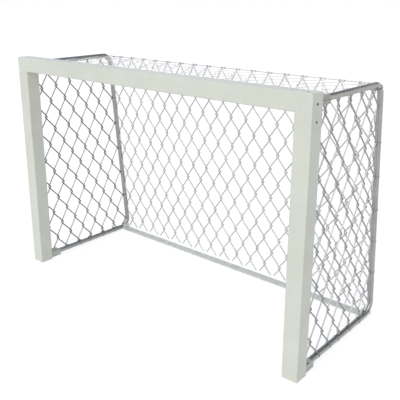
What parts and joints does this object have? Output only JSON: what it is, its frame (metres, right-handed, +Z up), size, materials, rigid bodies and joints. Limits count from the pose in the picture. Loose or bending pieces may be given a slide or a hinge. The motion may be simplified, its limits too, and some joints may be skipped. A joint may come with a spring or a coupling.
{
  "type": "training goal",
  "caption": "Small free-standing training goal: square-section aluminium frame, bent tube hoops behind it and chain-link wire netting on the back, sides and top.",
  "frame": {"origin": "on the ground, at the centre of the footprint", "axes": "+X to the right seen from the front, along the crossbar; +Y from the front to the back; +Z up"},
  "size_m": [1.96, 0.7878, 1.28],
  "materials": {
    "frame_aluminium": "matt, lightly satin",
    "cast_aluminium": "as cast",
    "tube_metal": "bare, semi-gloss",
    "bar_metal": "zinc coated, matt",
    "net_wire": "zinc coated",
    "cable_metal": "stranded, bright",
    "screw_metal": "dark",
    "clip_metal": "dark wire",
    "plug_plastic": "matt"
  },
  "bodies": {
    "root": {"crossbar": "frame_aluminium", "left_net_rail": "frame_aluminium", "right_net_rail": "frame_aluminium", "top_net_rail": "frame_aluminium", "left_post": "frame_aluminium", "left_ground_socket": "frame_aluminium", "left_top_socket": "frame_aluminium", "right_post": "frame_aluminium", "right_ground_socket": "frame_aluminium", "right_top_socket": "frame_aluminium", "left_corner_connector": "cast_aluminium", "left_cable_ferrule": "cast_aluminium", "right_corner_connector": "cast_aluminium", "right_cable_ferrule": "cast_aluminium", "left_net_hoop": "tube_metal", "right_net_hoop": "tube_metal", "rear_ground_bar": "bar_metal", "back_net": "net_wire", "top_net": "net_wire", "left_side_net": "net_wire", "right_side_net": "net_wire", "rear_top_cable": "cable_metal", "left_corner_screw_side_1": "screw_metal", "left_corner_screw_side_2": "screw_metal", "left_corner_screw_top_1": "screw_metal", "left_corner_screw_top_2": "screw_metal", "left_ground_clamp_screw": "screw_metal", "left_top_clamp_screw": "screw_metal", "left_bar_bolt": "screw_metal", "left_bar_nut": "screw_metal", "right_corner_screw_side_1": "screw_metal", "right_corner_screw_side_2": "screw_metal", "right_corner_screw_top_1": "screw_metal", "right_corner_screw_top_2": "screw_metal", "right_ground_clamp_screw": "screw_metal", "right_top_clamp_screw": "screw_metal", "right_bar_bolt": "screw_metal", "right_bar_nut": "screw_metal", "left_net_clip_arm_1": "clip_metal", "left_net_clip_arm_2": "clip_metal", "left_net_clip_arm_3": "clip_metal", "left_net_clip_arm_4": "clip_metal", "left_net_clip_arm_5": "clip_metal", "left_net_clip_leg_1": "clip_metal", "left_net_clip_leg_2": "clip_metal", "left_net_clip_leg_3": "clip_metal", "left_net_clip_leg_4": "clip_metal", "left_net_clip_leg_5": "clip_metal", "right_net_clip_arm_1": "clip_metal", "right_net_clip_arm_2": "clip_metal", "right_net_clip_arm_3": "clip_metal", "right_net_clip_arm_4": "clip_metal", "right_net_clip_arm_5": "clip_metal", "right_net_clip_leg_1": "clip_metal", "right_net_clip_leg_2": "clip_metal", "right_net_clip_leg_3": "clip_metal", "right_net_clip_leg_4": "clip_metal", "right_net_clip_leg_5": "clip_metal", "left_foot_plug": "plug_plastic", "right_foot_plug": "plug_plastic"}
  },
  "joints": []
}
